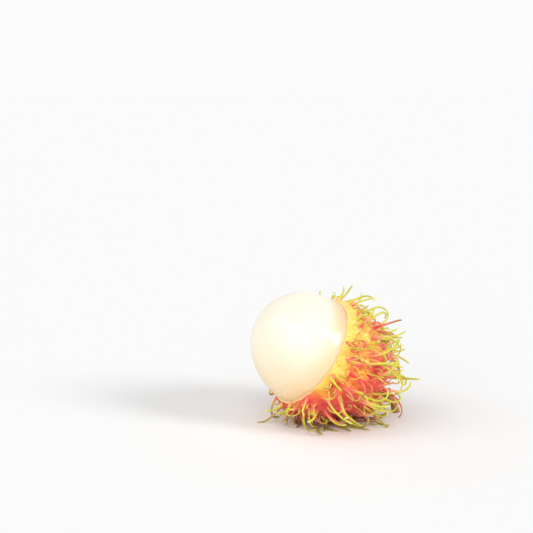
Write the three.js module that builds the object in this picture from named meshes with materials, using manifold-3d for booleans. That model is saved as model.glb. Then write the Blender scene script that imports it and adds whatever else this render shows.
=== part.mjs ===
// A rambutan opened for eating: the stalk half of its spiny rind with the peeled white flesh (the aril)
// still seated in it, lying on its own soft spines as it would on a table.
// Millimetres, +Z up. The fruit's axis lies in the XZ plane: the flesh faces -X and tilts up, and the
// stalk leaves towards +X and down. The origin is under the middle of the bounding box, on the surface.

import * as THREE from "three";
import { mergeVertices } from "three/addons/utils/BufferGeometryUtils.js";
import Module from "manifold-3d";

// Driving dimensions
const rindRadius = 20; // outside of the rind at the cut, without its spines
const rindDepth = 28; // from the cut plane to the stalk end of the rind
const wallAtCut = 1.5;
const wallAtStalk = 2.4;
const pieceGap = 0.3; // between pieces that touch
const fleshLength = 21.6; // how far the flesh stands out of the cut plane
const fleshLean = 0.05; // its free end leans up by this share of its length
const axisTilt = THREE.MathUtils.degToRad(33.5); // how far the open end is raised
const bodyClearance = 1.9; // the spines hold the rind this far off the surface

const spineCount = 210;
const spineLength = { shortest: 8, longest: 14, lessAtCut: 3 };
const spineRadius = { base: 1.0, tip: 0.3, taper: 1.8 };
const spineSpan = { nearStalk: 0.04, nearCut: 0.975 }; // shares of the way from the stalk to the cut
const spiralStart = 2.2; // radians round the axis
const spiralJitter = 0.1;
const cutZone = { start: 1.2, width: 0.35 }; // where the cut shapes the spines, in radians from the stalk
const stalkZone = 0.6; // and where the stalk does
const spineLean = { usual: 0.6, moreOnTop: 0.6, lessAtCut: 0.8, lessAtStalk: 0.9, apartAtStalk: 1.2 };
const spineScatter = { sideways: 0.3, onwards: 0.25 };
const spineBend = { bow: 0.3, hook: 2.2, sweep: 0.4, sag: 0.25 };
const restOutwards = 0.15; // how much a spine turns away from the fruit as it comes down on the surface
const spineRoot = 1.2; // how deep a spine starts inside the rind's wall
const spineCrush = 0.14; // how much a spine that lies on the surface is flattened
const spineSteps = 24; // steps that trace a spine's line
const spineSides = 3;
const spineRings = 3;
const stalkRoom = 2.6; // no spine passes closer than this to the line of the stalk

const calyxRadius = 3.4;
const calyxThickness = 1.1;
const calyxLobes = 5;
const lobeDepth = 0.22; // share of the calyx's radius

const stalkStart = 1.6; // how far the stalk keeps to the fruit's axis
const stalkRise = 7.6; // how far above its cut end it is still nearly upright
const cutReach = 7.9; // level, from the calyx to the cut end, which stands on the surface
const stalkRadius = { start: 1.3, neck: 0.75, knot: 2, cut: 1.4 };
const stalkShares = { startEnds: 0.35, knot: 0.45, knotWidth: 0.13, flareFrom: 0.55 }; // of its length

// Values that follow from them
const goldenAngle = Math.PI * (3 - Math.sqrt(5));
const fleshRadius = rindRadius - wallAtCut - pieceGap;
const fleshDepth = rindDepth - wallAtStalk - pieceGap;
const lowestPoint = Math.hypot(rindDepth * Math.sin(axisTilt), rindRadius * Math.cos(axisTilt));
const cutCentre = new THREE.Vector3(0, 0, lowestPoint + bodyClearance);
const towardsStalk = new THREE.Vector3(Math.cos(axisTilt), 0, -Math.sin(axisTilt));
const acrossAndUp = new THREE.Vector3(Math.sin(axisTilt), 0, Math.cos(axisTilt));
const brushed = new THREE.Vector3(1, 0, 0.15).normalize(); // the way the spines sweep
const axisTurn = new THREE.Quaternion().setFromUnitVectors(new THREE.Vector3(0, 1, 0), towardsStalk);

const wasm = await Module();
wasm.setup();

function solidOf(geometry) {
  const bare = geometry.clone();
  bare.deleteAttribute("normal");
  bare.deleteAttribute("uv");
  const merged = mergeVertices(bare, 1e-4);
  return new wasm.Manifold(
    new wasm.Mesh({
      numProp: 3,
      vertProperties: merged.attributes.position.array,
      triVerts: new Uint32Array(merged.index.array),
    }),
  );
}

function geometryOf(solid) {
  const { vertProperties, triVerts } = solid.getMesh();
  return new THREE.BufferGeometry()
    .setAttribute("position", new THREE.BufferAttribute(vertProperties, 3))
    .setIndex(new THREE.BufferAttribute(triVerts, 1));
}

// The fruit's own frame has its origin at the cut's centre and +Y towards the stalk, as in a lathe profile.
function placeOnAxis(geometry) {
  return geometry.applyQuaternion(axisTurn).translate(...cutCentre.toArray());
}

// A quarter of an ellipse from the cut plane (radius, 0) to the axis (0, depth).
function quarterEllipse(radius, depth, steps) {
  return Array.from({ length: steps + 1 }, (_, k) => {
    const angle = (k / steps) * (Math.PI / 2);
    const onAxis = k === steps;
    return new THREE.Vector2(onAxis ? 0 : radius * Math.cos(angle), depth * Math.sin(angle));
  });
}

// The rind's wall: an outer half ellipsoid, an inner one, and the flat ring of the cut between them.
function rindShell() {
  const outer = quarterEllipse(rindRadius, rindDepth, 8);
  const inner = quarterEllipse(rindRadius - wallAtCut, rindDepth - wallAtStalk, 7);
  return new THREE.LatheGeometry([...inner.reverse(), ...outer], 32);
}

// The flesh is egg-shaped: its buried end follows the rind, and its free end is blunter and leans up.
// The turn that places the fruit leaves the direction acrossAndUp as it is.
function fleshBody() {
  const buried = quarterEllipse(fleshRadius, fleshDepth, 7);
  const free = quarterEllipse(fleshRadius, -fleshLength, 7);
  const body = new THREE.LatheGeometry([...free.reverse(), ...buried.slice(1)], 28);
  const places = body.attributes.position;
  for (let k = 0; k < places.count; k++) {
    const at = new THREE.Vector3().fromBufferAttribute(places, k);
    at.addScaledVector(acrossAndUp, fleshLean * Math.max(0, -at.y));
    places.setXYZ(k, ...at.toArray());
  }
  return body;
}

// A repeatable number from 0 to 1 for one trait of one spine.
function chance(spine, trait) {
  const x = Math.sin(spine * 127.1 + trait * 311.7) * 43758.5453;
  return x - Math.floor(x);
}

function spread(spine, trait) {
  return 2 * chance(spine, trait) - 1;
}

// Where a spine stands on the rind: a spiral of golden angles from the stalk to the cut, a little disturbed.
function spineFoot(spine) {
  const { nearStalk, nearCut } = spineSpan;
  const share = nearStalk + ((spine + 0.5 + 0.5 * spread(spine, 1)) / spineCount) * (nearCut - nearStalk);
  const polar = Math.acos(1 - share);
  const round = spiralStart + spine * goldenAngle + spiralJitter * spread(spine, 2);
  const onRind = new THREE.Vector3(
    rindRadius * Math.sin(polar) * Math.cos(round),
    rindDepth * Math.cos(polar),
    rindRadius * Math.sin(polar) * Math.sin(round),
  );
  const normal = new THREE.Vector3(
    onRind.x / rindRadius ** 2,
    onRind.y / rindDepth ** 2,
    onRind.z / rindRadius ** 2,
  ).normalize();
  return {
    point: onRind.applyQuaternion(axisTurn).add(cutCentre),
    normal: normal.applyQuaternion(axisTurn),
    polar,
  };
}

function spineRadiusAt(share) {
  return spineRadius.tip + (spineRadius.base - spineRadius.tip) * (1 - share) ** spineRadius.taper;
}

// A spine that comes down on the surface turns along it: it may fall no steeper than its height allows.
function steerOffSurface(point, direction, restHeight) {
  const steepest = Math.max(0, point.z - restHeight);
  if (-direction.z <= steepest) return;
  const outwards = point.clone().sub(cutCentre).setZ(0).normalize();
  const flat = new THREE.Vector3(direction.x, direction.y, 0);
  flat.addScaledVector(outwards, restOutwards).normalize();
  const fall = Math.min(steepest, 1);
  direction.copy(flat.multiplyScalar(Math.sqrt(1 - fall * fall)).setZ(-fall));
}

// The line of one spine. It leaves the rind leaning the way all of them are brushed, most of all on top of
// the fruit, and it bows, sags and sweeps further that way; some hook at the tip. Round the stalk the
// spines lean apart, and at the cut they stand straighter and are shorter.
function spineLine(spine) {
  const { point, normal, polar } = spineFoot(spine);
  const atCut = Math.max(0, (polar - cutZone.start) / cutZone.width);
  const atStalk = Math.max(0, stalkZone - polar);
  const length =
    THREE.MathUtils.lerp(spineLength.shortest, spineLength.longest, chance(spine, 3)) -
    spineLength.lessAtCut * atCut;
  const across = new THREE.Vector3().crossVectors(normal, brushed).normalize();
  const along = new THREE.Vector3().crossVectors(across, normal);
  const apart = point.clone().sub(cutCentre);
  apart.addScaledVector(towardsStalk, -apart.dot(towardsStalk)).normalize();
  const lean =
    spineLean.usual +
    spineLean.moreOnTop * Math.max(normal.z, -0.5) -
    spineLean.lessAtCut * atCut -
    spineLean.lessAtStalk * atStalk +
    spineScatter.onwards * spread(spine, 5);
  const direction = normal
    .clone()
    .addScaledVector(across, spineScatter.sideways * spread(spine, 4))
    .addScaledVector(along, lean)
    .addScaledVector(apart, spineLean.apartAtStalk * atStalk)
    .normalize();
  const bendAngle = 2 * Math.PI * chance(spine, 6);
  const bendAxis = across
    .clone()
    .multiplyScalar(Math.cos(bendAngle))
    .addScaledVector(along, Math.sin(bendAngle));
  const bow = spineBend.bow + chance(spine, 7); // radians over the whole spine
  const hook = spineBend.hook * chance(spine, 8) ** 2; // more of them, nearly all by the tip
  const sweep = brushed.clone().multiplyScalar(spineBend.sweep);
  sweep.z -= spineBend.sag;
  const step = (length + spineRoot) / spineSteps;
  const at = point.clone().addScaledVector(normal, -spineRoot);
  const line = [at.clone()];
  for (let k = 1; k <= spineSteps; k++) {
    const share = k / spineSteps;
    direction.applyAxisAngle(bendAxis, (bow + hook * 4 * share ** 3) / spineSteps);
    direction.addScaledVector(sweep, 1 / spineSteps).normalize();
    steerOffSurface(at, direction, spineRadiusAt(share) - spineCrush);
    at.addScaledVector(direction, step);
    line.push(at.clone());
  }
  return line;
}

// A straight rod bent along a line: each ring of its vertices moves to the line's point at its height.
function rodAlong(line, sides, rings, radiusAt) {
  const curve = new THREE.CatmullRomCurve3(line);
  const rod = new THREE.CylinderGeometry(1, 1, 1, sides, rings);
  const places = rod.attributes.position;
  const frames = curve.computeFrenetFrames(rings, false);
  for (let k = 0; k < places.count; k++) {
    const share = places.getY(k) + 0.5;
    const ring = Math.round(share * rings);
    const moved = curve
      .getPoint(share)
      .addScaledVector(frames.normals[ring], -places.getX(k) * radiusAt(share))
      .addScaledVector(frames.binormals[ring], places.getZ(k) * radiusAt(share));
    places.setXYZ(k, moved.x, moved.y, moved.z);
  }
  return rod;
}

function aboveSurface(solid) {
  const surface = new THREE.BoxGeometry(200, 200, 20).translate(0, 0, -10);
  return geometryOf(solid.subtract(solidOf(surface)));
}

function rindWithSpines() {
  const stalkPoints = stalkCurve().getPoints(20);
  let rind = solidOf(placeOnAxis(rindShell()));
  for (let spine = 0; spine < spineCount; spine++) {
    const line = spineLine(spine);
    const blocked = line.some((at) => stalkPoints.some((other) => at.distanceTo(other) < stalkRoom));
    if (blocked) continue;
    rind = rind.add(solidOf(rodAlong(line, spineSides, spineRings, spineRadiusAt)));
  }
  return aboveSurface(rind);
}

// The dried calyx: a small five-lobed collar between the rind's end and the stalk.
function calyxCollar() {
  const outline = new THREE.Shape();
  const steps = 40;
  for (let k = 0; k < steps; k++) {
    const angle = (k / steps) * 2 * Math.PI;
    const radius = calyxRadius * (1 - lobeDepth + lobeDepth * Math.cos(calyxLobes * angle));
    const corner = [radius * Math.cos(angle), radius * Math.sin(angle)];
    if (k === 0) outline.moveTo(...corner);
    else outline.lineTo(...corner);
  }
  const collar = new THREE.ExtrudeGeometry(outline, { depth: calyxThickness, bevelEnabled: false });
  collar.rotateX(-Math.PI / 2).translate(0, rindDepth + pieceGap, 0);
  return placeOnAxis(collar);
}

// The stub of the stalk leaves the calyx in line with the fruit and bends down until its cut end stands on
// the surface. The knot in its bend is where other fruit stalks branched off.
function stalkCurve() {
  const start = cutCentre.clone().addScaledVector(towardsStalk, rindDepth + 2 * pieceGap + calyxThickness);
  const end = new THREE.Vector3(start.x + cutReach, 0, -0.3);
  const leaving = start.clone().addScaledVector(towardsStalk, stalkStart);
  const arriving = end.clone().add(new THREE.Vector3(-1, 0, stalkRise));
  return new THREE.CubicBezierCurve3(start, leaving, arriving, end);
}

// It is narrowest below the knot and flares to its cut end.
function stalkRadiusAt(share) {
  const { start, neck, knot, cut } = stalkRadius;
  const { startEnds, knotWidth, flareFrom } = stalkShares;
  const atStart = Math.max(0, 1 - share / startEnds) ** 2;
  const atCut = Math.max(0, (share - flareFrom) / (1 - flareFrom)) ** 1.5;
  const plain = neck + (start - neck) * atStart + (cut - neck) * atCut;
  return plain + (knot - plain) * Math.exp(-(((share - stalkShares.knot) / knotWidth) ** 2));
}

function stalkStub() {
  return aboveSurface(solidOf(rodAlong(stalkCurve().getPoints(12), 10, 12, stalkRadiusAt)));
}

function piece(name, geometry, colour, roughness) {
  const material = new THREE.MeshStandardMaterial({ color: colour, roughness, metalness: 0 });
  const mesh = new THREE.Mesh(geometry, material);
  mesh.name = name;
  return mesh;
}

const rambutan = new THREE.Group();
rambutan.add(
  piece("rind", rindWithSpines(), 0xe0662e, 0.5),
  piece("flesh", placeOnAxis(fleshBody()), 0xf7ead2, 0.25),
  piece("calyx", calyxCollar(), 0x6e5a2c, 0.9),
  piece("stalk", stalkStub(), 0x8a5f3c, 0.85),
);

// The origin goes under the middle of the bounding box.
const extent = new THREE.Box3().setFromObject(rambutan, true);
const middle = extent.getCenter(new THREE.Vector3());
rambutan.position.set(-middle.x, -middle.y, -extent.min.z);

export default rambutan;
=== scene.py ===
import math
import bpy
import numpy as np
from mathutils import Matrix, Vector, noise


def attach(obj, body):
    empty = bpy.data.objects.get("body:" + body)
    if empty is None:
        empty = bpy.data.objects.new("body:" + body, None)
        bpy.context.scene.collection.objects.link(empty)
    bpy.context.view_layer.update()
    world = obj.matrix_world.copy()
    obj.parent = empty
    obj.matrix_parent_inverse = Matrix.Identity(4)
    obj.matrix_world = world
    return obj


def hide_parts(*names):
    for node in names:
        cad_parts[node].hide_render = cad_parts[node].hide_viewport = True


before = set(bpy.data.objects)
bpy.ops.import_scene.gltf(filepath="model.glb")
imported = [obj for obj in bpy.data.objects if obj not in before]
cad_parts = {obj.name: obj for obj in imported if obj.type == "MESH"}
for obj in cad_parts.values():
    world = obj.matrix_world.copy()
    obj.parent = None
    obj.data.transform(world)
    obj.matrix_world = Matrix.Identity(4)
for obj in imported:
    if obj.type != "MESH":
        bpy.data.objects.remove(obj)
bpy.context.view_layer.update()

mm = 0.001  # shapes are worked out in millimetres and stored in metres
pressed = 0.02  # what lies on the floor is pressed flat at this height

# the opened fruit: it sits where the fixed frame has it, and these proportions are the frame's own
fruit = {
    "tilt": 33.5,  # degrees that the open end is raised
    "rindRadius": 20.0,
    "rindDepth": 28.0,
    "wallAtCut": 1.5,
    "wallAtStalk": 2.4,
    "fleshLength": 21.6,  # how far the flesh stands out of the cut
    "fleshLean": 0.05,  # its free end leans up by this share of its length
    "gap": 0.3,
}

tilt = math.radians(fruit["tilt"])
toStalk = np.array([math.cos(tilt), 0.0, -math.sin(tilt)])
acrossAndUp = np.array([math.sin(tilt), 0.0, math.cos(tilt)])
fleshPoints = np.array([v.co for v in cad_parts["flesh"].data.vertices], float) / mm
fleshTip = fleshPoints[np.argmin(fleshPoints @ toStalk)]
cutCentre = fleshTip + fruit["fleshLength"] * (toStalk - acrossAndUp * fruit["fleshLean"])


def turnFromY(direction):  # the shortest turn that takes +Y to a direction
    v = np.cross([0.0, 1.0, 0.0], direction)
    k = np.array([[0, -v[2], v[1]], [v[2], 0, -v[0]], [-v[1], v[0], 0]])
    return np.eye(3) + k + k @ k / (1 + direction[1])


axisTurn = turnFromY(toStalk)


def onAxis(points):  # from the fruit's own frame, +Y to the stalk, to the frame of the scene
    return np.asarray(points) @ axisTurn.T + cutCentre


def unit(v):
    return v / np.linalg.norm(v, axis=-1, keepdims=True)


def smooth(low, high, x):  # from 0 at low to 1 at high, whichever of them is larger
    t = np.clip((np.asarray(x, float) - low) / (high - low), 0, 1)
    return t * t * (3 - 2 * t)


def turned(v, axis, angle):
    return (v * math.cos(angle) + np.cross(axis, v) * math.sin(angle)
            + axis * np.dot(axis, v) * (1 - math.cos(angle)))


def soft(points, size, seed, octaves):  # soft noise from about -1 to 1
    shift = Vector((seed, seed * 1.7, -seed))
    fade, finer = 1.0, 2.0  # each octave is half as strong as the last, and half its size
    return np.array([noise.fractal(Vector(p / size) + shift, fade, finer, octaves) for p in points])


def addMesh(name, points, faces, uvs, traits):
    mesh = bpy.data.meshes.new(name)
    mesh.from_pydata([tuple(p) for p in np.asarray(points) * mm], [], faces)
    layer = mesh.uv_layers.new(name="OFBake")
    layer.data.foreach_set("uv", np.asarray(uvs, np.float32).ravel())
    for trait, values in traits.items():
        attribute = mesh.attributes.new(trait, "FLOAT", "POINT")
        attribute.data.foreach_set("value", np.asarray(values, np.float32))
    mesh.shade_smooth()
    piece = bpy.data.objects.new(name, mesh)
    bpy.context.scene.collection.objects.link(piece)
    return piece


def tube(rows, columns, first=0, cell=(0, 0, 1, 1)):
    # faces and uvs of closed rings between two end points: point 0, then the rings, then the last point
    faces, uvs = [], []
    left, low, width, height = cell

    def place(column, row):
        return (left + width * column / columns, low + height * row / (rows + 1))

    for c in range(columns):
        n = (c + 1) % columns
        faces.append((first, first + 1 + n, first + 1 + c))
        uvs += [place(c + 0.5, 0), place(c + 1, 1), place(c, 1)]
    for r in range(rows - 1):
        ring = first + 1 + r * columns
        for c in range(columns):
            n = (c + 1) % columns
            faces.append((ring + c, ring + n, ring + columns + n, ring + columns + c))
            uvs += [place(c, r + 1), place(c + 1, r + 1), place(c + 1, r + 2), place(c, r + 2)]
    ring = first + 1 + (rows - 1) * columns
    for c in range(columns):
        n = (c + 1) % columns
        faces.append((ring + c, ring + n, first + 1 + rows * columns))
        uvs += [place(c, rows), place(c + 1, rows), place(c + 0.5, rows + 1)]
    return faces, uvs


def insideOut(faces, uvs):  # the same faces the other way round, with their uvs
    turnedUvs, k = [], 0
    for face in faces:
        turnedUvs += uvs[k:k + len(face)][::-1]
        k += len(face)
    return [tuple(reversed(face)) for face in faces], turnedUvs


# shader nodes, written as sums
class Wire:
    def __init__(self, tree, socket):
        self.tree = tree
        self.socket = socket

    def maths(self, operation, a, b):
        node = self.tree.nodes.new("ShaderNodeMath")
        node.operation = operation
        for slot, value in zip(node.inputs, (a, b)):
            join(self.tree, value, slot)
        return Wire(self.tree, node.outputs[0])

    def __add__(self, other):
        return self.maths("ADD", self, other)

    def __radd__(self, other):
        return self.maths("ADD", other, self)

    def __sub__(self, other):
        return self.maths("SUBTRACT", self, other)

    def __rsub__(self, other):
        return self.maths("SUBTRACT", other, self)

    def __mul__(self, other):
        return self.maths("MULTIPLY", self, other)

    def __rmul__(self, other):
        return self.maths("MULTIPLY", other, self)

    def __truediv__(self, other):
        return self.maths("DIVIDE", self, other)

    def __rtruediv__(self, other):
        return self.maths("DIVIDE", other, self)


def join(tree, value, slot):
    if isinstance(value, Wire):
        tree.links.new(value.socket, slot)
    else:
        slot.default_value = value


class Finish:
    def __init__(self, name):
        self.material = bpy.data.materials.new(name)
        self.material.use_nodes = True
        self.tree = self.material.node_tree
        self.tree.nodes.clear()

    def node(self, kind, settings=None, sockets=None, output=0):
        made = self.tree.nodes.new(kind)
        for key, value in (settings or {}).items():
            if key == "stops":
                made.color_ramp.elements.remove(made.color_ramp.elements[1])
                for k, (place, colour) in enumerate(value):
                    stop = made.color_ramp.elements[0] if k == 0 else made.color_ramp.elements.new(place)
                    stop.position = place
                    stop.color = colour
            else:
                setattr(made, key, value)
        for key, value in (sockets or {}).items():
            join(self.tree, value, made.inputs[key])
        return Wire(self.tree, made.outputs[output])

    def trait(self, name):
        return self.node("ShaderNodeAttribute", {"attribute_name": name}, output="Fac")

    def place(self):
        return self.node("ShaderNodeTexCoord", output="Object")

    def height(self, where):  # above the floor, in mm
        return self.node("ShaderNodeSeparateXYZ", {}, {"Vector": where}, output="Z") / mm

    def grain(self, where, size, detail, rough):  # soft noise from 0 to 1, size in mm
        return self.node("ShaderNodeTexNoise", {}, {
            "Vector": where, "Scale": 1 / (size * mm), "Detail": detail, "Roughness": rough})

    def step(self, low, high, value):  # 0 below low, 1 above high, smooth between
        return self.node("ShaderNodeMapRange", {"interpolation_type": "SMOOTHSTEP"}, {
            "Value": value, "From Min": low, "From Max": high, "To Min": 0.0, "To Max": 1.0})

    def blend(self, share, a, b):  # a Mix node's sockets 6 and 7 and its output 2 are the ones for colours
        return self.node("ShaderNodeMix", {"data_type": "RGBA", "clamp_factor": True},
                         {0: share, 6: a, 7: b}, output=2)

    def ramp(self, value, stops):
        return self.node("ShaderNodeValToRGB", {"stops": stops}, {"Fac": value})

    def bump(self, height, distance, strength):
        return self.node("ShaderNodeBump", {}, {
            "Height": height, "Distance": distance * mm, "Strength": strength})

    def surface(self, sockets):
        shader = self.node("ShaderNodeBsdfPrincipled", {}, sockets, output="BSDF")
        end = self.tree.nodes.new("ShaderNodeOutputMaterial")
        self.tree.links.new(shader.socket, end.inputs["Surface"])
        return self.material


def swing(grain, amount):  # a noise from 0 to 1 as a little less or a little more
    return (grain - 0.5) * amount


def paint(red, green, blue):  # a colour as a screen shows it, from 0 to 255, with the screen's curve undone
    return tuple(((c / 255 + 0.055) / 1.055) ** 2.4 if c > 10 else c / 255 / 12.92
                 for c in (red, green, blue)) + (1.0,)


print("stage: camera")
camera = {
    "azimuth": -22.0,
    "elevation": 10.0,
    "distance": 422.0,
    "nearest": 10.0,
    "lens": 85.0,
    "sensor": 36.0,
    "across": 0.082,  # where the middle of the cut is in the frame, as shares of its width from the middle
    "down": 0.159,
}


def addCamera(c):
    eye = bpy.data.objects.new("camera", bpy.data.cameras.new("camera"))
    eye.data.lens = c["lens"]
    eye.data.sensor_width = c["sensor"]
    eye.data.clip_start = c["nearest"] * mm
    turn = Matrix.Rotation(math.radians(c["azimuth"]), 3, "Z") @ Matrix.Rotation(
        math.radians(90 - c["elevation"]), 3, "X")
    ray = Vector((c["across"] * c["sensor"], -c["down"] * c["sensor"], -c["lens"])).normalized()
    place = (Vector(cutCentre) - turn @ ray * c["distance"]) * mm
    eye.matrix_world = Matrix.Translation(place) @ turn.to_4x4()
    bpy.context.scene.collection.objects.link(eye)
    bpy.context.scene.camera = eye


addCamera(camera)

stalkLook = {
    "straight": 1.6,  # how far it keeps to the fruit's axis
    "rise": 7.6,  # how far above its cut end it is still nearly upright
    "lean": 1.0,  # and how far it is from upright there
    "reach": 7.9,  # level, from the calyx to the cut end, which stands on the floor
    "under": 0.3,  # its line runs on this far under the floor
    "start": 1.3,  # radii
    "neck": 0.75,
    "knot": 2.0,
    "cut": 1.4,
    "neckFrom": 0.35,  # places, as shares of its length
    "neckTo": 0.55,
    "knotAt": 0.45,
    "knotWidth": 0.13,
    "flare": 1.5,  # how late it widens to the cut end
    "rings": 90,
    "sides": 36,
    "capRings": 4,
    "bark": 0.14,
    "barkNoise": (0.9, 4.0, 3),  # size, seed and octaves, here and below
    "swell": 0.12,
    "swellNoise": (2.5, 8.0, 2),
    "scars": 9,  # lumps on the knot where other fruit hung
    "scarSeed": 11,
    "scarsAt": (0.42, 0.16),  # the middle of their zone, and how far they are from it at most
    "scarShift": 0.3,  # radians
    "scarHeights": (0.6, 1.3),
    "scarWidth": 0.7,
    "aroundKnot": 2.0,  # mm to a radian round the knot
    "alongStalk": 14.0,  # mm to its whole length
    "grooves": 9,
    "grooveTwist": 5,
    "grooveDepth": 0.07,
    "groovesFrom": (0.6, 0.75),
}
calyxLook = {
    "radius": 3.4,
    "thickness": 1.1,  # the room for it between the rind and the stalk
    "lobes": 5,
    "lobePower": 0.8,
    "between": 0.62,  # share of the radius between two lobes
    "middle": 0.25,
    "leaf": 0.45,  # how thick its leaf is in the middle
    "thinner": 0.6,  # share of that lost at the rim
    "raised": 0.45,
    "droop": 0.5,
    "crumple": 0.14,
    "crumpleNoise": (1.3, 6.0, 3),
    "rows": 14,
    "columns": 120,
}


def stalkLine(count):
    look = stalkLook
    start = cutCentre + toStalk * (fruit["rindDepth"] + 2 * fruit["gap"] + calyxLook["thickness"])
    end = np.array([start[0] + look["reach"], start[1], -look["under"]])
    leaving = start + toStalk * look["straight"]
    arriving = end + np.array([-look["lean"], 0, look["rise"]])
    t = np.linspace(0, 1, count)[:, None]
    return (start * (1 - t) ** 3 + leaving * 3 * t * (1 - t) ** 2
            + arriving * 3 * t ** 2 * (1 - t) + end * t ** 3)


print("stage: spines")
spineLook = {
    "count": 210,
    "shortest": 8.0,
    "longest": 14.0,
    "lessAtCut": 3.0,
    "nearStalk": 0.04,  # shares of the way from the stalk to the cut
    "nearCut": 0.975,
    "spiralStart": 2.2,  # radians round the axis
    "jitter": 0.1,
    "cutZone": (1.2, 0.35),  # where it starts and its width, in radians from the stalk
    "stalkZone": 0.6,
    "lean": 0.6,  # towards where they are brushed, as shares of an upright spine
    "moreOnTop": 0.6,
    "leastOnTop": -0.5,  # how far down a spine may point before that stops counting
    "lessLeanAtCut": 0.8,
    "lessLeanAtStalk": 0.9,
    "sideways": 0.3,
    "onwards": 0.25,
    "apartAtStalk": 1.2,
    "bow": 0.3,  # radians
    "moreBow": 1.0,
    "hook": 2.2,
    "sweep": 0.4,
    "sag": 0.25,
    "outwards": 0.15,  # how much it turns away from the fruit on the floor
    "root": 1.2,  # how deep it starts in the wall
    "restRadius": (1.0, 0.3, 1.8),  # at the foot and at the tip, and its taper, for lying on the floor
    "crush": 0.14,  # how much a spine on the floor is flattened
    "stalkRoom": 2.6,  # no spine passes closer than this to the line of the stalk
    "stalkSteps": 21,
    "fine": 150,  # slender short spines between the others
    "fineAtCut": 80,  # and more of them close to the cut
    "fringe": 0.2,  # on this share of the rind
    "fringeEnd": 1.012,
    "fineLength": 0.6,
    "fineSize": 0.62,
    "leastSize": 0.9,
    "moreSize": 0.25,
    "thick": 0.48,  # radius above the flare
    "tip": 0.26,
    "taper": 0.9,
    "flare": 0.42,  # how much wider it is where it grows out of the rind
    "flareLength": 1.1,
    "flareFall": 1.4,  # how suddenly that ends
    "flatness": 0.88,
    "endShrink": 0.82,
    "endDome": 0.75,
    "curls": 0.34,  # the share of spines that end in a curl
    "curl": 4.2,  # radians
    "curlStart": 0.42,  # share of its length
    "curlRate": 5.0,
    "curlSkew": 0.4,
    "curlsUpBelow": 13.0,
    "rings": 24,
    "sides": 8,
    "cellColumns": 25,  # each spine has a cell of its own in the uv square
    "cellMargin": (0.003, 0.005),
}
brushed = unit(np.array([1.0, 0.0, 0.15]))  # the way the spines sweep
draws = ("", "place", "round", "length", "sideways", "onwards", "bendWay", "bow", "hook", "tone", "tint",
         "curl", "curls", "fineRound", "size", "fringe", "curlSkew")  # a draw's number is its place here


def chance(spine, draw):  # a repeatable number from 0 to 1, the same as in the frame's own part
    x = math.sin(spine * 127.1 + draws.index(draw) * 311.7) * 43758.5453
    return x - math.floor(x)


def spread(spine, draw):
    return 2 * chance(spine, draw) - 1


def spineFoot(spine):
    look = spineLook
    nearStalk, nearCut = look["nearStalk"], look["nearCut"]
    goldenAngle = math.pi * (3 - math.sqrt(5))
    order = spine
    around = look["spiralStart"] + spine * goldenAngle + look["jitter"] * spread(spine, "round")
    if spine >= look["count"]:  # a fine spine has its place drawn between the others
        order = (spine - look["count"] + 0.5) * look["count"] / look["fine"]
        if spine >= look["count"] + look["fine"]:
            order = look["count"] * (look["fringeEnd"] - look["fringe"] * chance(spine, "fringe"))
        around = 2 * math.pi * chance(spine, "fineRound")
    order = order + 0.5 + 0.5 * spread(spine, "place")
    share = nearStalk + order / look["count"] * (nearCut - nearStalk)
    polar = math.acos(max(0.0, 1 - share))
    radius, depth = fruit["rindRadius"], fruit["rindDepth"]
    local = np.array([radius * math.sin(polar) * math.cos(around), depth * math.cos(polar),
                      radius * math.sin(polar) * math.sin(around)])
    normal = unit(local / np.array([radius, depth, radius]) ** 2)
    return onAxis(local), axisTurn @ normal, polar


def steerOffFloor(at, direction, restHeight):  # a spine may fall no steeper than its height allows
    steepest = max(0.0, at[2] - restHeight)
    if -direction[2] <= steepest:
        return direction
    outwards = at - cutCentre
    outwards[2] = 0
    flat = np.array([direction[0], direction[1], 0]) + spineLook["outwards"] * unit(outwards)
    fall = min(steepest, 1.0)
    return unit(flat) * math.sqrt(1 - fall * fall) + np.array([0, 0, -fall])


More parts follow.
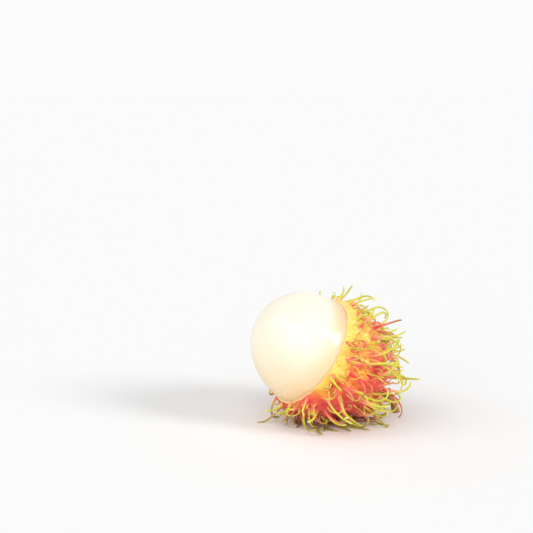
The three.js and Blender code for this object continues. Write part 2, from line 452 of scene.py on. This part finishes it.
def spineLine(spine, steps):
    look = spineLook
    foot, normal, polar = spineFoot(spine)
    zoneStart, zoneWidth = look["cutZone"]
    atCut = max(0.0, (polar - zoneStart) / zoneWidth)
    atStalk = max(0.0, look["stalkZone"] - polar)
    length = (look["shortest"] + (look["longest"] - look["shortest"]) * chance(spine, "length")
              - look["lessAtCut"] * atCut)
    if spine >= look["count"]:
        length *= look["fineLength"]
    across = unit(np.cross(normal, brushed))
    along = np.cross(across, normal)
    apart = foot - cutCentre
    apart = unit(apart - toStalk * np.dot(apart, toStalk))
    lean = (look["lean"] + look["moreOnTop"] * max(normal[2], look["leastOnTop"])
            - look["lessLeanAtCut"] * atCut - look["lessLeanAtStalk"] * atStalk
            + look["onwards"] * spread(spine, "onwards"))
    direction = unit(normal + across * look["sideways"] * spread(spine, "sideways") + along * lean
                     + apart * look["apartAtStalk"] * atStalk)
    bendAngle = 2 * math.pi * chance(spine, "bendWay")
    bendAxis = across * math.cos(bendAngle) + along * math.sin(bendAngle)
    bow = look["bow"] + look["moreBow"] * chance(spine, "bow")
    hook = look["hook"] * chance(spine, "hook") ** 2
    curl = 0
    if chance(spine, "curls") < look["curls"]:
        curl = look["curl"] * (0.5 + chance(spine, "curl"))
    sweep = brushed * look["sweep"] + np.array([0, 0, -look["sag"]])
    footRadius, tipRadius, taper = look["restRadius"]
    at = foot - normal * look["root"]
    line = [at]
    curlAxis = None
    for k in range(1, steps + 1):
        share = k / steps
        bend = bow + hook * 4 * share ** 3  # nearly all of the hook comes at the tip
        direction = turned(direction, bendAxis, bend / steps)
        if curl and share > look["curlStart"]:
            if curlAxis is None:  # high ones roll up downwards, low ones upwards
                way = -1 if at[2] > look["curlsUpBelow"] else 1
                skew = look["curlSkew"] * spread(spine, "curlSkew")
                curlAxis = unit(np.cross(direction, [0, 0, way]) + skew * direction)
            roll = curl * look["curlRate"] * (share - look["curlStart"])
            direction = turned(direction, curlAxis, roll / steps)
        direction = unit(direction + sweep / steps)
        ownRadius = tipRadius + (footRadius - tipRadius) * (1 - share) ** taper
        direction = steerOffFloor(at, direction, ownRadius - look["crush"])
        at = at + direction * (length + look["root"]) / steps
        line.append(at)
    return np.array(line), foot, normal


def spineRadius(along, fromFoot, size):  # share of its length, and mm above the rind
    look = spineLook
    plain = look["tip"] + (look["thick"] - look["tip"]) * (1 - along) ** look["taper"]
    flare = look["flare"] * np.exp(-(np.maximum(fromFoot, 0) / look["flareLength"]) ** look["flareFall"])
    return size * (plain + flare)


def addSpines():
    look = spineLook
    rings, sides = look["rings"], look["sides"]
    points, faces, uvs = [], [], []
    along, tone, feet = [], [], []
    total = look["count"] + look["fine"] + look["fineAtCut"]
    columns = look["cellColumns"]
    rowsOfCells = math.ceil(total / columns)
    sideMargin, endMargin = look["cellMargin"]
    keepClear = stalkLine(look["stalkSteps"])
    for spine in range(total):
        line, foot, normal = spineLine(spine, rings)
        if np.linalg.norm(line[:, None] - keepClear[None], axis=2).min() < look["stalkRoom"]:
            continue
        size = look["fineSize"]
        if spine < look["count"]:
            size = look["leastSize"] + look["moreSize"] * chance(spine, "size")
        leaving = unit(line[4] - line[1])  # the way it leaves the skin
        feet.append({"at": foot, "normal": normal, "leaving": leaving, "size": size, "spine": spine})
        lengths = np.concatenate([[0], np.cumsum(np.linalg.norm(np.diff(line, axis=0), axis=1))])
        share = lengths / lengths[-1]
        radii = spineRadius(share, lengths - look["root"], size)
        tangents = unit(np.gradient(line, axis=0))
        side = unit(np.cross(tangents[0], [0.3, 0.9, 0.2]))  # any side does for the first ring
        first = len(points)
        points.append(line[0])
        for k in range(rings + 1):
            side = unit(side - tangents[k] * np.dot(side, tangents[k]))
            up = np.cross(tangents[k], side)
            radius = radii[k] * (look["endShrink"] if k == rings else 1)
            for s in range(sides):
                angle = 2 * math.pi * s / sides
                out = side * math.cos(angle) + look["flatness"] * up * math.sin(angle)
                points.append(line[k] + radius * out)
        points.append(line[-1] + tangents[-1] * radii[-1] * look["endDome"])
        cell = ((spine % columns) / columns + sideMargin, (spine // columns) / rowsOfCells + endMargin,
                1 / columns - 2 * sideMargin, 1 / rowsOfCells - 2 * endMargin)
        newFaces, newUvs = tube(rings + 1, sides, first, cell)
        faces += newFaces
        uvs += newUvs
        along += [0.0] + list(np.repeat(share, sides)) + [1.0]
        tone += [chance(spine, "tone")] * (sides * (rings + 1) + 2)
    points = np.array(points)
    points[:, 2] = np.maximum(points[:, 2], pressed)
    piece = addMesh("spines", points, faces, uvs, {"along": along, "tone": tone})
    print("spines:", len(feet), "of", total)
    return piece, feet


spines, feet = addSpines()

print("stage: rind")
rindLook = {
    "rows": 170,
    "columns": 360,
    "lipRows": 9,
    "insideRows": 26,
    "moundHeight": 1.15,
    "moundWidth": 1.4,
    "moundFall": 1.7,  # how steep its sides are
    "moundAhead": 0.45,  # its middle is this far from the foot, the way the spine leans
    "moundStretch": 0.35,
    "crease": 0.3,  # depth of the furrows between the mounds
    "creaseWidth": 0.8,
    "patchBlend": 0.7,  # how softly one spine's tint passes into the next one's
    "warts": 520,
    "wartHeight": 0.34,
    "wartSizes": (0.25, 0.6),
    "wartShares": (0.02, 0.99),  # of the way from the stalk to the cut
    "wartSeed": 7,
    "swell": 0.25,
    "swellNoise": (9.0, 3.0, 2),  # size, seed and octaves, here and below
    "lumps": 0.3,
    "lumpNoise": (3.2, 6.0, 2),
    "grain": 0.12,
    "grainNoise": (1.6, 5.0, 3),
    "edgeRound": 0.75,  # how far the outer edge of the cut is rounded off
    "edgeHeight": 2.2,
    "calm": 0.85,  # share of the relief lost at the cut
    "calmZone": (1.5, 1.57),  # radians from the stalk
    "lip": 0.08,  # how far the cut edge bulges
    "lipFullness": 0.6,
    "lipGrain": 0.07,
    "lipZone": (0.4, 1.6),  # how far the grain goes in from the cut, and in from the outer edge
    "ragged": 0.22,
    "raggedNoise": (3.0, 9.0, 3),
    "raggedWidth": 1.2,
    "parts": 60,  # the whole skin at once would take too much memory
}


def rindProfile():  # radius, height towards the stalk, share of the outer surface's relief
    look = rindLook
    radius, depth = fruit["rindRadius"], fruit["rindDepth"]
    inRadius, inDepth = radius - fruit["wallAtCut"], depth - fruit["wallAtStalk"]
    profile = []
    for k in range(look["rows"]):
        polar = (k + 1) / look["rows"] * math.pi / 2
        y = depth * math.cos(polar)
        rounding = look["edgeRound"] * max(0.0, 1 - y / look["edgeHeight"]) ** 2
        relief = 1 - look["calm"] * smooth(*look["calmZone"], polar)
        profile.append((radius * math.sin(polar) - rounding, y, relief))
    lipStart = radius - look["edgeRound"]
    for k in range(1, look["lipRows"]):
        t = k / look["lipRows"]
        bulge = look["lip"] * math.sin(math.pi * t) ** look["lipFullness"]
        profile.append((lipStart + (inRadius - lipStart) * t, -bulge, 0.0))
    for k in range(look["insideRows"]):
        polar = math.pi / 2 * (1 - k / look["insideRows"])
        profile.append((inRadius * math.sin(polar), inDepth * math.cos(polar), 0.0))
    return np.array(profile), inDepth


def inParts(measure, base):
    parts = [measure(some) for some in np.array_split(base, rindLook["parts"])]
    return [np.concatenate(values) for values in zip(*parts)]


def moundsOf(base):  # what each point of the skin gets from the spines that stand near it
    look = rindLook
    footAt = np.array([f["at"] for f in feet])
    lean = np.array([f["leaving"] - f["normal"] * np.dot(f["leaving"], f["normal"]) for f in feet])
    sizes = np.array([f["size"] for f in feet])
    tints = np.array([chance(f["spine"], "tint") for f in feet])
    gap = base[:, None, :] - (footAt + lean * look["moundAhead"])[None]
    ahead = np.einsum("ijk,jk->ij", gap, unit(lean))
    distance = np.sqrt(np.maximum((gap ** 2).sum(2) - look["moundStretch"] * ahead ** 2, 0))
    bumps = sizes ** 2 * np.exp(-(distance / (look["moundWidth"] * sizes)) ** look["moundFall"])
    mound = (bumps ** 3).sum(1) ** (1 / 3)  # near mounds run softly together
    order = np.argsort(distance, axis=1)[:, :2]
    near = np.take_along_axis(distance, order, 1)
    furrow = 1 - smooth(0.0, look["creaseWidth"], near[:, 1] - near[:, 0])
    weight = np.exp(-((distance - near[:, :1]) / look["patchBlend"]) ** 2)
    patch = (weight * tints).sum(1) / weight.sum(1)
    return mound, furrow, patch


def wartsOf(base):  # small warts that never grew a spine
    look = rindLook
    rng = np.random.default_rng(look["wartSeed"])
    share = rng.uniform(*look["wartShares"], look["warts"])
    around = rng.uniform(0, 2 * math.pi, look["warts"])
    sizes = rng.uniform(*look["wartSizes"], look["warts"])
    polar = np.arccos(1 - share)
    ring = fruit["rindRadius"] * np.sin(polar)
    wartAt = onAxis(np.stack([ring * np.cos(around), fruit["rindDepth"] * np.cos(polar),
                              ring * np.sin(around)], 1))
    distance = np.sqrt(((base[:, None, :] - wartAt[None]) ** 2).sum(2))
    return [np.exp(-(distance / sizes) ** 2).max(1)]


def addRind():
    look = rindLook
    profile, inDepth = rindProfile()
    radius, depth = fruit["rindRadius"], fruit["rindDepth"]
    columns = look["columns"]
    angles = np.arange(columns) * 2 * math.pi / columns
    r, y, relief = (np.repeat(profile[:, k], columns) for k in range(3))
    a = np.tile(angles, len(profile))
    local = np.stack([r * np.cos(a), y, r * np.sin(a)], 1)
    local = np.concatenate([[[0, depth, 0]], local, [[0, inDepth, 0]]])
    relief = np.concatenate([[1], relief, [0]])
    normal = unit(local / np.array([radius, depth, radius]) ** 2) @ axisTurn.T
    base = onAxis(local)
    outer = relief > 0
    mound, furrow, patch, wart = (np.zeros(len(base)) for _ in range(4))
    mound[outer], furrow[outer], patch[outer] = inParts(moundsOf, base[outer])
    wart[outer] = inParts(wartsOf, base[outer])[0]
    fine = soft(base, *look["grainNoise"])
    lift = relief * (look["moundHeight"] * mound - look["crease"] * furrow + look["wartHeight"] * wart
                     + look["swell"] * soft(base, *look["swellNoise"])
                     + look["lumps"] * soft(base, *look["lumpNoise"]) + look["grain"] * fine)
    inFromCut, inFromEdge = look["lipZone"]
    onLip = ((relief == 0) & (local[:, 1] < inFromCut)
             & (np.hypot(local[:, 0], local[:, 2]) > radius - inFromEdge))
    lift = lift + np.where(onLip, look["lipGrain"] * fine, 0)
    ragged = (soft(base, *look["raggedNoise"]) * look["ragged"])[:, None] * toStalk
    edge = np.clip(1 - np.abs(local[:, 1]) / look["raggedWidth"], 0, 1) * (relief < 1)
    points = base + normal * lift[:, None] + ragged * edge[:, None]
    faces, uvs = tube(len(profile), columns)
    traits = {"mound": mound, "wart": wart, "patch": patch, "outside": relief, "fromCut": local[:, 1]}
    return addMesh("rindShell", points, faces, uvs, traits)


rind = addRind()

print("stage: flesh")
fleshLook = {
    "rows": 140,
    "columns": 200,
    "clearOfWall": 0.06,
    "drawIn": 0.012,  # share of its radius that it loses inside the rind
    "drawnInBy": 2.0,  # radians from its free end
    "unevenness": 0.2,
    "unevenNoise": (14.0, 2.0, 2),  # size, seed and octaves
    "standsClear": (1.5, -4.0),  # from inside the rind to where the whole of that shows
    "overLip": 0.3,  # how far it swells over the lip of the rind
    "swellStarts": (0.7, -1.2),  # heights towards the stalk, as above
    "swellEnds": (-6.0, -1.2),
    "knob": 0.55,  # a small bump near its top
    "knobAt": (-0.8, 0.2, 19.9),  # from the middle of the cut
    "knobWidth": 1.1,
}


def addFlesh():
    look = fleshLook
    side = fruit["rindRadius"] - fruit["wallAtCut"] - look["clearOfWall"]
    buried = fruit["rindDepth"] - fruit["wallAtStalk"] - fruit["gap"]
    rows, columns = look["rows"], look["columns"]
    polar = (np.arange(rows) + 1) / (rows + 1) * math.pi
    y = np.where(polar < math.pi / 2, -fruit["fleshLength"] * np.cos(polar), -buried * np.cos(polar))
    r = side * np.sin(polar) * (1 - look["drawIn"] * smooth(math.pi / 2, look["drawnInBy"], polar))
    angles = np.arange(columns) * 2 * math.pi / columns
    local = np.stack([np.repeat(r, columns) * np.tile(np.cos(angles), rows), np.repeat(y, columns),
                      np.repeat(r, columns) * np.tile(np.sin(angles), rows)], 1)
    local = np.concatenate([[[0, -fruit["fleshLength"], 0]], local, [[0, buried, 0]]])
    fromCut = local[:, 1]  # towards the stalk, so it is below 0 on the part that shows
    normal = unit(local / np.array([side, buried, side]) ** 2) @ axisTurn.T
    freeEnd = np.maximum(0, -fromCut)
    base = onAxis(local) + fruit["fleshLean"] * freeEnd[:, None] * acrossAndUp
    lift = look["unevenness"] * soft(base, *look["unevenNoise"]) * smooth(*look["standsClear"], fromCut)
    lift += look["overLip"] * smooth(*look["swellStarts"], fromCut) * smooth(*look["swellEnds"], fromCut)
    away = np.linalg.norm(base - (cutCentre + np.array(look["knobAt"])), axis=1)
    lift += look["knob"] * np.exp(-(away / look["knobWidth"]) ** 2)
    points = base + normal * lift[:, None]
    faces, uvs = insideOut(*tube(rows, columns))
    return addMesh("peeledFlesh", points, faces, uvs, {"fromCut": fromCut})


flesh = addFlesh()

print("stage: stalk and calyx")


def stalkRadii(share):
    look = stalkLook
    atStart = np.maximum(0, 1 - share / look["neckFrom"]) ** 2
    atCut = np.maximum(0, (share - look["neckTo"]) / (1 - look["neckTo"])) ** look["flare"]
    plain = look["neck"] + (look["start"] - look["neck"]) * atStart + (look["cut"] - look["neck"]) * atCut
    atKnot = np.exp(-((share - look["knotAt"]) / look["knotWidth"]) ** 2)
    return plain + (look["knot"] - plain) * atKnot


def addStalk():
    look = stalkLook
    rings, sides, capRings = look["rings"], look["sides"], look["capRings"]
    line = stalkLine(rings)
    tangents = unit(np.gradient(line, axis=0))
    share = np.linspace(0, 1, rings)
    radii = stalkRadii(share)
    side = np.array([0.0, 1.0, 0.0])
    angles = 2 * math.pi * np.arange(sides) / sides
    points, along, around = [line[:1]], [0.0], [0.0]
    for k in range(rings + capRings - 1):
        onLine = min(k, rings - 1)
        shrink = 1 - max(0, k - onLine) / capRings  # rings across the cut end draw together
        out = side * np.cos(angles)[:, None] + np.cross(tangents[onLine], side) * np.sin(angles)[:, None]
        points.append(line[onLine] + radii[onLine] * shrink * out)
        along += [share[onLine]] * sides
        around += list(angles)
    points = np.concatenate(points + [line[-1:]])
    along, around = np.array(along + [1.0]), np.array(around + [0.0])
    barkEnd = 1 + rings * sides
    core = np.concatenate([line[:1], np.repeat(line, sides, axis=0)])
    outwards = np.zeros_like(points)
    outwards[1:barkEnd] = unit(points[1:barkEnd] - core[1:barkEnd])
    lift = look["bark"] * soft(points, *look["barkNoise"])
    lift += look["swell"] * soft(points, *look["swellNoise"])
    rng = np.random.default_rng(look["scarSeed"])
    middle, spreadOut = look["scarsAt"]
    for scar in range(look["scars"]):
        place = middle + spreadOut * rng.uniform(-1, 1)
        angle = 2 * math.pi * scar / look["scars"] + rng.uniform(-look["scarShift"], look["scarShift"])
        aside = np.abs((around - angle + math.pi) % (2 * math.pi) - math.pi) * look["aroundKnot"]
        distance = np.hypot((along - place) * look["alongStalk"], aside)
        lift += rng.uniform(*look["scarHeights"]) * np.exp(-(distance / look["scarWidth"]) ** 2)
    waves = np.cos(around * look["grooves"] + look["grooveTwist"] * along)
    grooves = look["grooveDepth"] * waves * smooth(*look["groovesFrom"], along)
    points = points + outwards * (lift + grooves)[:, None]
    cutEnd = np.zeros(len(points))
    cutEnd[barkEnd:] = 1
    points[:, 2] = np.maximum(points[:, 2], pressed)
    faces, uvs = tube(rings + capRings - 1, sides)
    return addMesh("stalkStub", points, faces, uvs, {"along": along, "cutEnd": cutEnd})


def addCalyx():
    look = calyxLook
    columns, rows = look["columns"], look["rows"]
    bottom = fruit["rindDepth"] + fruit["gap"]
    under = bottom + look["raised"]
    angles = np.arange(columns) * 2 * math.pi / columns
    waves = np.abs(np.cos(look["lobes"] * angles / 2)) ** look["lobePower"]
    lobe = look["radius"] * (look["between"] + (1 - look["between"]) * waves)
    points = []
    for k in range(2 * rows):  # over the top to the rim, and back underneath
        upper = k < rows
        t = (k if upper else 2 * rows - 1 - k) / (rows - 1)
        r = look["middle"] + (lobe - look["middle"]) * t
        y = under - look["droop"] * (t ** 2 - t ** 4)
        if upper:
            y += look["leaf"] * (1 - look["thinner"] * t)
        points.append(np.stack([r * np.cos(angles), y * np.ones(columns), r * np.sin(angles)], 1))
    local = np.concatenate([[[0, under + look["leaf"], 0]]] + points + [[[0, under, 0]]])
    local[:, 1] += look["crumple"] * soft(local, *look["crumpleNoise"])
    faces, uvs = tube(2 * rows, columns)
    return addMesh("driedCalyx", onAxis(local), faces, uvs, {})


stalk = addStalk()
calyx = addCalyx()

print("stage: materials")
rindPaint = {
    "ripening": [(0.05, paint(252, 226, 116)), (0.28, paint(251, 208, 78)), (0.46, paint(249, 170, 58)),
                 (0.64, paint(246, 134, 50)), (0.82, paint(240, 90, 54)), (1.0, paint(220, 54, 46))],
    "ripe": 0.43,  # how far along that the skin is, and how much each of the next ones changes it
    "byClouds": 0.8,
    "byPatch": 0.45,
    "byMottle": 0.4,
    "byDepth": (7.0, 0.018),  # from where, in mm from the cut, and how much to a mm
    "byHeight": (26.0, 0.021),
    "clouds": (8.0, 2.0, 0.5),  # size in mm, detail and roughness of the noise, here and below
    "mottle": (1.1, 3.0, 0.6),
    "speckle": (0.9, 3.0, 0.7),
    "pores": (0.35, 3.0, 0.7),
    "poreDepth": 0.1,
    "poreStrength": 0.7,
    "mound": paint(243, 98, 80),
    "moundFrom": (0.42, 0.95),  # where each paint starts and where it is full
    "moundByMottle": 0.9,
    "moundByRipe": (0.45, 0.6),
    "moundShare": 0.75,
    "wart": paint(228, 82, 58),
    "wartFrom": (0.35, 0.8),
    "wartShare": 0.75,
    "speck": paint(222, 84, 56),
    "speckFrom": (0.56, 0.68),
    "speckShare": 0.5,
    # painted shade: the skin darkens to this low down, towards the floor
    "under": paint(126, 30, 26),
    "paintedShadeTo": (1.0, 13.0),  # painted shade near the floor: heights that it fades out between
    "paintedShadeShare": 0.75,
    "inside": paint(255, 226, 166),
    "insideTo": (0.0, 0.12),
}


def rindFinish():
    look = rindPaint
    f = Finish("rindSkin")
    where = f.place()
    z = f.height(where)
    mound, patch, fromCut = f.trait("mound"), f.trait("patch"), f.trait("fromCut")
    clouds = f.grain(where, *look["clouds"])
    mottle = f.grain(where, *look["mottle"])
    evenDepth, toMmOfDepth = look["byDepth"]
    evenHeight, toMmOfHeight = look["byHeight"]
    ripe = (look["ripe"] + swing(clouds, look["byClouds"]) + swing(patch, look["byPatch"])
            + (fromCut - evenDepth) * toMmOfDepth - (z - evenHeight) * toMmOfHeight
            + swing(mottle, look["byMottle"]))
    skin = f.ramp(ripe, look["ripening"])
    evenRipe, toRipe = look["moundByRipe"]
    onMound = mound + swing(mottle, look["moundByMottle"]) + (ripe - evenRipe) * toRipe
    skin = f.blend(f.step(*look["moundFrom"], onMound) * look["moundShare"], skin, look["mound"])
    skin = f.blend(f.step(*look["wartFrom"], f.trait("wart")) * look["wartShare"], skin, look["wart"])
    specks = f.step(*look["speckFrom"], f.grain(where, *look["speckle"]))
    skin = f.blend(specks * look["speckShare"], skin, look["speck"])
    # painted shade: darker towards the floor, where little light reaches
    shaded = 1 - f.step(*look["paintedShadeTo"], z)
    skin = f.blend(shaded * look["paintedShadeShare"], skin, look["under"])
    inside = 1 - f.step(*look["insideTo"], f.trait("outside"))
    skin = f.blend(inside, skin, look["inside"])
    pores = f.grain(where, *look["pores"])
    return f.surface({
        "Base Color": skin, "Roughness": 0.34 + 0.18 * mottle, "Coat Weight": 0.25, "Coat Roughness": 0.25,
        "Subsurface Weight": 0.1, "Subsurface Radius": (1.0, 0.5, 0.25), "Subsurface Scale": 0.0012,
        "Normal": f.bump(pores, look["poreDepth"], look["poreStrength"])})


spinePaint = {
    "footToTip": [(0.0, paint(232, 72, 68)), (0.2, paint(242, 112, 94)), (0.42, paint(249, 162, 122)),
                  (0.55, paint(240, 196, 98)), (0.68, paint(220, 214, 66)), (1.0, paint(200, 208, 62))],
    "byLength": 1.05,
    "byTone": 0.85,
    "byMottle": 0.3,
    "byHeight": (20.0, 0.003),
    "mottle": (1.2, 2.0, 0.6),
    "ribs": (0.3, 2.0, 0.6),
    "ribDepth": 0.06,
    "ribStrength": 0.5,
    "paleTip": paint(250, 238, 160),
    "tipFrom": (0.8, 1.0),
    "tipTones": (0.4, 0.55),  # only on spines whose tone is above this
    "tipShare": 0.7,
    "dry": paint(158, 98, 50),
    "dryFrom": (0.4, 1.0),
    "dryTones": (0.1, 0.3),  # only on spines whose tone is below this
    "dryShare": 0.7,
    # painted shade: spines near the floor are darkened to this colour
    "under": paint(124, 98, 30),
    "paintedShadeTo": (0.5, 7.0),
    "paintedShadeShare": 0.55,
}


def spineFinish():
    look = spinePaint
    f = Finish("spineSkin")
    where = f.place()
    along, tone = f.trait("along"), f.trait("tone")
    mottle = f.grain(where, *look["mottle"])
    z = f.height(where)
    evenHeight, toMm = look["byHeight"]
    shade = (along * look["byLength"] + swing(tone, look["byTone"]) + swing(mottle, look["byMottle"])
             + (z - evenHeight) * toMm)
    colour = f.ramp(shade, look["footToTip"])
    pale = f.step(*look["tipFrom"], along) * f.step(*look["tipTones"], tone)
    colour = f.blend(pale * look["tipShare"], colour, look["paleTip"])
    dry = f.step(*look["dryFrom"], along) * (1 - f.step(*look["dryTones"], tone))
    colour = f.blend(dry * look["dryShare"], colour, look["dry"])
    # painted shade, darker low down towards the floor
    under = 1 - f.step(*look["paintedShadeTo"], z)
    colour = f.blend(under * look["paintedShadeShare"], colour, look["under"])
    ribs = f.grain(where, *look["ribs"])
    return f.surface({
        "Base Color": colour, "Roughness": 0.3 + 0.2 * mottle, "Subsurface Weight": 0.12,
        "Subsurface Radius": (1.0, 0.8, 0.3), "Subsurface Scale": 0.0008,
        "Normal": f.bump(ribs, look["ribDepth"], look["ribStrength"])})


fleshPaint = {
    "white": paint(253, 242, 220),
    # painted warm shade and reflected light from the rind, towards the bottom of the flesh
    "low": paint(254, 219, 162),
    "paintedWarmShadeTo": (4.0, 36.0),
    "paintedWarmShadeByClouds": 6.0,
    "paintedWarmShadeShare": 0.9,
    # painted shade on the flesh near the cut edge of the rind
    "nearCut": paint(245, 211, 162),
    "paintedEdgeShadeFrom": (-9.0, -0.5),  # painted shade near the rind's edge, over heights towards the stalk, which are below 0 outside the rind
    "paintedEdgeShadeShare": 0.9,
    # painted shade on the upper flesh near the rim
    "paintedRimShade": paint(232, 190, 136),
    "paintedRimShadeAbove": (30.0, 42.0),
    "paintedRimShadeFrom": (-7.0, -0.5),
    "paintedRimShadeShare": 0.85,
    "clouds": (12.0, 2.0, 0.5),
    "grains": (0.9, 2.0, 0.6),
    "veins": (2.6, 3.0, 0.5),
    "roughFrom": (-11.0, -3.0),  # fine wet grains, where the rind was pulled off
    "wet": 0.5,
    "wetBetweenGrains": 0.3,
    "wetOnGrains": 0.7,  # more than between them
    "grainEdge": (0.46, 0.56),
    "veinBump": 0.4,
    "grainBump": 0.1,
    "grainBumpWhereRough": 0.5,
    "bumpDepth": 0.12,
    "bumpStrength": 0.7,
}


def fleshFinish():
    look = fleshPaint
    f = Finish("moistFlesh")
    where = f.place()
    z = f.height(where)
    fromCut = f.trait("fromCut")
    clouds = f.grain(where, *look["clouds"])
    # painted warm shade and reflected light, lower down
    low = 1 - f.step(*look["paintedWarmShadeTo"], z + swing(clouds, look["paintedWarmShadeByClouds"]))
    colour = f.blend(low * look["paintedWarmShadeShare"], look["white"], look["low"])
    # painted shade near the cut edge of the rind
    nearCut = f.step(*look["paintedEdgeShadeFrom"], fromCut)
    colour = f.blend(nearCut * look["paintedEdgeShadeShare"], colour, look["nearCut"])
    # painted shade on the upper flesh near the rim
    paintedRimShade = f.step(*look["paintedRimShadeAbove"], z) * f.step(*look["paintedRimShadeFrom"], fromCut)
    colour = f.blend(paintedRimShade * look["paintedRimShadeShare"], colour, look["paintedRimShade"])
    grains = f.grain(where, *look["grains"])
    veins = f.grain(where, *look["veins"])
    rough = f.step(*look["roughFrom"], fromCut)
    wetGrains = look["wetBetweenGrains"] + look["wetOnGrains"] * f.step(*look["grainEdge"], grains)
    grainBump = look["grainBump"] + look["grainBumpWhereRough"] * rough
    bumps = veins * look["veinBump"] + grains * grainBump
    return f.surface({
        "Base Color": colour, "Roughness": 0.36 + 0.12 * veins,
        "Coat Weight": look["wet"] * (1 - rough) + rough * wetGrains,
        "Coat Roughness": 0.18, "Coat IOR": 1.75,
        "Subsurface Weight": 0.35, "Subsurface Radius": (1.0, 0.92, 0.8), "Subsurface Scale": 0.0025,
        "IOR": 1.5, "Normal": f.bump(bumps, look["bumpDepth"], look["bumpStrength"])})


woodPaint = {
    "fibres": (0.7, 4.0, 0.7),
    "lightFrom": (0.3, 0.7),
    "blotches": (2.2, 2.0, 0.5),
    "greenFrom": (0.5, 0.7),
    "greenShare": 0.6,
    "bumpStrength": 0.9,
    "barkDark": paint(112, 66, 30),
    "barkLight": paint(196, 136, 84),
    "barkGreen": paint(142, 122, 40),
    "barkBump": 0.25,
    "stub": paint(178, 122, 82),  # the bark near the cut end
    "stubFrom": (0.55, 0.7),
    "stubShare": 0.6,
    "cutEnd": paint(206, 160, 116),
    "cutEndFrom": (0.4, 0.9),
    "calyxDark": paint(96, 66, 26),
    "calyxLight": paint(158, 118, 58),
    "calyxGreen": paint(130, 122, 36),
    "calyxBump": 0.2,
}


def woodFinish(name, dark, light, green):
    look = woodPaint
    f = Finish(name)
    where = f.place()
    fibres = f.grain(where, *look["fibres"])
    blotches = f.grain(where, *look["blotches"])
    colour = f.blend(f.step(*look["lightFrom"], fibres), dark, light)
    colour = f.blend(f.step(*look["greenFrom"], blotches) * look["greenShare"], colour, green)
    return f, colour, fibres


def stalkFinish():
    look = woodPaint
    f, colour, fibres = woodFinish("stalkBark", look["barkDark"], look["barkLight"], look["barkGreen"])
    stub = f.step(*look["stubFrom"], f.trait("along"))
    colour = f.blend(stub * look["stubShare"], colour, look["stub"])
    colour = f.blend(f.step(*look["cutEndFrom"], f.trait("cutEnd")), colour, look["cutEnd"])
    return f.surface({"Base Color": colour, "Roughness": 0.75 + 0.15 * fibres,
                      "Normal": f.bump(fibres, look["barkBump"], look["bumpStrength"])})


def calyxFinish():
    look = woodPaint
    f, colour, fibres = woodFinish("dryCalyx", look["calyxDark"], look["calyxLight"], look["calyxGreen"])
    return f.surface({"Base Color": colour, "Roughness": 0.8 + 0.1 * fibres,
                      "Normal": f.bump(fibres, look["calyxBump"], look["bumpStrength"])})


for piece, finish in ((rind, rindFinish()), (spines, spineFinish()), (flesh, fleshFinish()),
                      (stalk, stalkFinish()), (calyx, calyxFinish())):
    piece.data.materials.append(finish)
    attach(piece, "root")

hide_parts("rind")
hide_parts("flesh")
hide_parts("calyx")
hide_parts("stalk")

print("stage: floor and light")
studio = {
    "floor": paint(250, 250, 250),
    "floorRoughness": 0.9,
    "floorSize": 3000.0,  # from the middle to each side
    "backdrop": 0.968,  # how bright the tent around it looks
    "soft": 0.52,  # and how much it lights what stands in it
    "lamps": [  # name, azimuth, elevation, how wide it looks in degrees, strength
        ("key", -98, 46, 36, 0.55),
        ("front", -38, 30, 60, 1.0),
        ("fill", 39, 28, 20, 1.35),
    ],
}


def addFloor(s):
    size = s["floorSize"] * mm
    corners = [(-size, -size, 0), (size, -size, 0), (size, size, 0), (-size, size, 0)]
    mesh = bpy.data.meshes.new("floor")
    mesh.from_pydata(corners, [], [(0, 1, 2, 3)])
    floor = bpy.data.objects.new("floor", mesh)
    bpy.context.scene.collection.objects.link(floor)
    f = Finish("paleFloor")
    floor.data.materials.append(f.surface({"Base Color": s["floor"], "Roughness": s["floorRoughness"],
                                           "Specular IOR Level": 0.0}))


def addLight(s):
    for name, azimuth, elevation, width, strength in s["lamps"]:
        light = bpy.data.lights.new(name, "SUN")
        light.angle = math.radians(width)
        light.energy = strength
        a, e = math.radians(azimuth), math.radians(elevation)
        back = Vector((math.sin(a) * math.cos(e), -math.cos(a) * math.cos(e), math.sin(e)))
        lamp = bpy.data.objects.new(name, light)
        lamp.matrix_world = back.to_track_quat("Z", "Y").to_matrix().to_4x4()
        bpy.context.scene.collection.objects.link(lamp)
    world = bpy.data.worlds.new("studio")
    world.use_nodes = True
    tree = world.node_tree
    rays = Wire(tree, tree.nodes.new("ShaderNodeLightPath").outputs["Is Diffuse Ray"])
    tent = tree.nodes["Background"]
    tent.inputs["Color"].default_value = (1, 1, 1, 1)
    join(tree, s["backdrop"] - rays * (s["backdrop"] - s["soft"]), tent.inputs["Strength"])
    bpy.context.scene.world = world
    bpy.context.scene.view_settings.view_transform = "Standard"


addFloor(studio)
addLight(studio)
